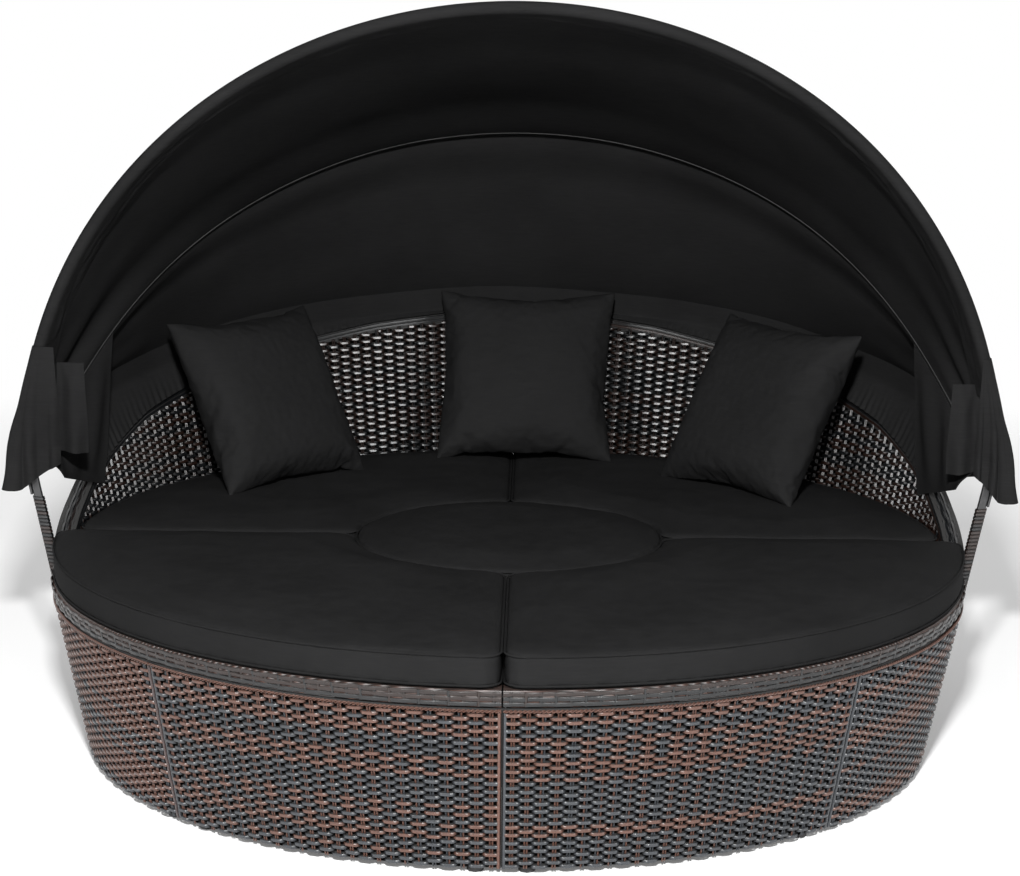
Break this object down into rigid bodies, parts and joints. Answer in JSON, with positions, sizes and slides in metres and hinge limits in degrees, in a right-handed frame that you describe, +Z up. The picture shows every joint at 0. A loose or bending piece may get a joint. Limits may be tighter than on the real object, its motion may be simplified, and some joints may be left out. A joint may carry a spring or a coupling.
{
  "type": "outdoor daybed with canopy",
  "caption": "Round woven outdoor daybed with a curved back, black seat cushions and pillows, a lift-up centre table and a folding hooped canopy.",
  "frame": {"origin": "on the floor at the centre of the round base, on the underside of the table stand's crossed bars", "axes": "+Z up, -Y towards the open front, +X to the right as seen from the front"},
  "size_m": [2.0018, 1.8888, 1.4752],
  "materials": {
    "weave": "flat woven resin strands, mixed copper brown and slate grey, semi-gloss",
    "black_steel": "black powder coat, satin",
    "black_tube": "black powder-coated tube, satin",
    "zinc_plate": "zinc-plated bolts",
    "canopy_cloth": "black polyester canopy cloth, dull with a slight sheen",
    "cushion_cloth": "black polyester cushion cover with piped edges",
    "black_plastic": "black moulded plastic"
  },
  "bodies": {
    "base": {"outer_panel_front_right": "weave", "outer_panel_right_front": "weave", "outer_panel_right_rear": "weave", "outer_panel_rear_right": "weave", "outer_panel_rear_left": "weave", "outer_panel_left_rear": "weave", "outer_panel_left_front": "weave", "outer_panel_front_left": "weave", "seat_deck_front_right": "weave", "seat_frame_front_right": "black_steel", "well_panel_front_right": "weave", "seat_deck_rear_right": "weave", "seat_frame_rear_right": "black_steel", "well_panel_rear_right": "weave", "seat_deck_rear_left": "weave", "seat_frame_rear_left": "black_steel", "well_panel_rear_left": "weave", "seat_deck_front_left": "weave", "seat_frame_front_left": "black_steel", "well_panel_front_left": "weave", "back_inner_right": "weave", "back_inner_left": "weave", "back_outer_right": "weave", "back_outer_left": "weave", "back_rail_right": "weave", "back_rail_left": "weave", "back_frame_right": "black_steel", "back_frame_left": "black_steel", "canopy_post_right": "black_steel", "canopy_post_left": "black_steel", "post_wrap_right": "weave", "post_wrap_left": "weave", "pivot_bracket_right": "black_steel", "pivot_bracket_left": "black_steel", "pivot_bolt_right": "zinc_plate", "pivot_bolt_left": "zinc_plate", "back_brace_right": "black_steel", "back_brace_left": "black_steel", "hoop_rear": "black_tube", "canopy_rear_cloth": "canopy_cloth", "canopy_skirt": "canopy_cloth", "seat_cushion_rear_right": "cushion_cloth", "seat_cushion_rear_left": "cushion_cloth", "table_stand": "black_steel", "lock_knob_rear_right": "black_plastic", "lock_knob_front_left": "black_plastic"},
    "hoop_middle_body": {"hoop_middle": "black_tube", "canopy_front_cloth": "canopy_cloth"},
    "hoop_front_body": {"hoop_front": "black_tube", "side_flap_right": "canopy_cloth", "side_flap_left": "canopy_cloth"},
    "table_body": {"table_top": "weave", "table_frame": "black_steel"},
    "centre_cushion_body": {"centre_cushion": "cushion_cloth"},
    "cushion_front_left_body": {"seat_cushion_front_left": "cushion_cloth"},
    "cushion_front_right_body": {"seat_cushion_front_right": "cushion_cloth"},
    "pillow_left_body": {"pillow_left": "cushion_cloth"},
    "pillow_centre_body": {"pillow_centre": "cushion_cloth"},
    "pillow_right_body": {"pillow_right": "cushion_cloth"}
  },
  "joints": [
    {"name": "canopy_middle_fold", "type": "hinge", "parent": "base", "child": "hoop_middle_body", "pos_m": [0, 0, 0.553], "axis": [-1, 0, 0], "range_deg": [0, 20], "deforming": ["canopy_rear_cloth"]},
    {"name": "canopy_front_fold", "type": "hinge", "parent": "hoop_middle_body", "child": "hoop_front_body", "pos_m": [0, 0, 0.553], "axis": [-1, 0, 0], "range_deg": [0, 54], "deforming": ["canopy_front_cloth"]},
    {"name": "table_lift", "type": "slide", "parent": "base", "child": "table_body", "axis": [0, 0, 1], "range_m": [0, 0.19]},
    {"name": "centre_cushion_lift", "type": "slide", "parent": "table_body", "child": "centre_cushion_body", "axis": [0, 0, 1], "range_m": [0, 0.25]},
    {"name": "cushion_front_left_off", "type": "slide", "parent": "base", "child": "cushion_front_left_body", "axis": [0, -0.9397, 0.342], "range_m": [0, 0.95]},
    {"name": "cushion_front_right_off", "type": "slide", "parent": "base", "child": "cushion_front_right_body", "axis": [0, -0.9397, 0.342], "range_m": [0, 0.95]},
    {"name": "pillow_left_off", "type": "slide", "parent": "base", "child": "pillow_left_body", "axis": [0, -0.9659, 0.2588], "range_m": [0, 1.75]},
    {"name": "pillow_centre_off", "type": "slide", "parent": "base", "child": "pillow_centre_body", "axis": [0, -0.9659, 0.2588], "range_m": [0, 1.75]},
    {"name": "pillow_right_off", "type": "slide", "parent": "base", "child": "pillow_right_body", "axis": [0, -0.9659, 0.2588], "range_m": [0, 1.75]}
  ]
}
